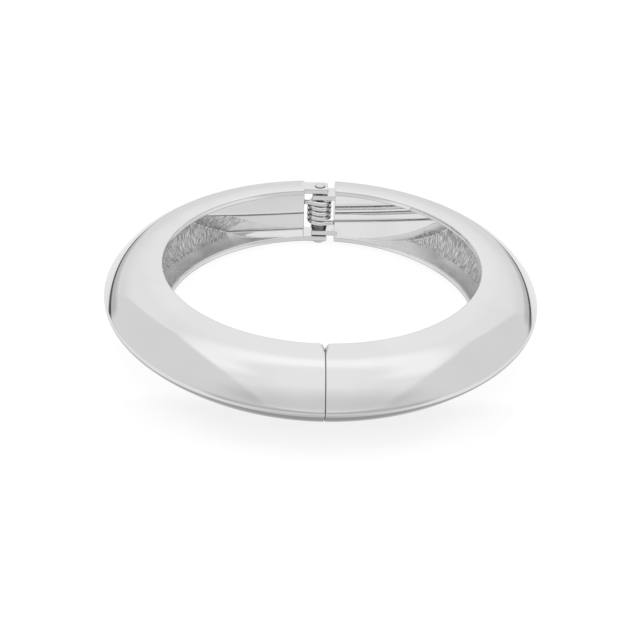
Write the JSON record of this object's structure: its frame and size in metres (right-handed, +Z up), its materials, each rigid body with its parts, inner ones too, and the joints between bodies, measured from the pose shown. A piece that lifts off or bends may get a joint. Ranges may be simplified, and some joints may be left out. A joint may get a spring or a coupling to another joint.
{
  "type": "bangle bracelet",
  "caption": "Polished hinged bangle with a sharp-nosed hollow section, split into half shells that turn on a riveted pin with a closing torsion spring.",
  "frame": {"origin": "under the middle of the ring, level with the lowest point, the head of the hinge pin", "axes": "+Z up along the ring's axis, +Y through the hinge, -Y through the front seam, +X through the half that carries the knuckles"},
  "size_m": [0.081, 0.0809, 0.0136],
  "materials": {
    "shell_plating": "bright rhodium-coloured plating on cast alloy, polished outside, bark-textured inside the trough",
    "pin_plating": "bright plated rivet, slightly duller than the shells",
    "spring_wire": "bright drawn spring wire"
  },
  "bodies": {
    "left_half": {"left_shell": "shell_plating", "hinge_pin": "pin_plating", "torsion_spring": "spring_wire"},
    "right_half": {"right_shell": "shell_plating"}
  },
  "joints": [
    {"name": "hinge_opening", "type": "hinge", "parent": "left_half", "child": "right_half", "pos_m": [0, 0.0307, 0.007], "axis": [0, 0, 1], "range_deg": [0, 35], "stiffness_Nm_per_rad": 0.06, "springref_deg": -60.16, "deforming": ["torsion_spring"]}
  ]
}
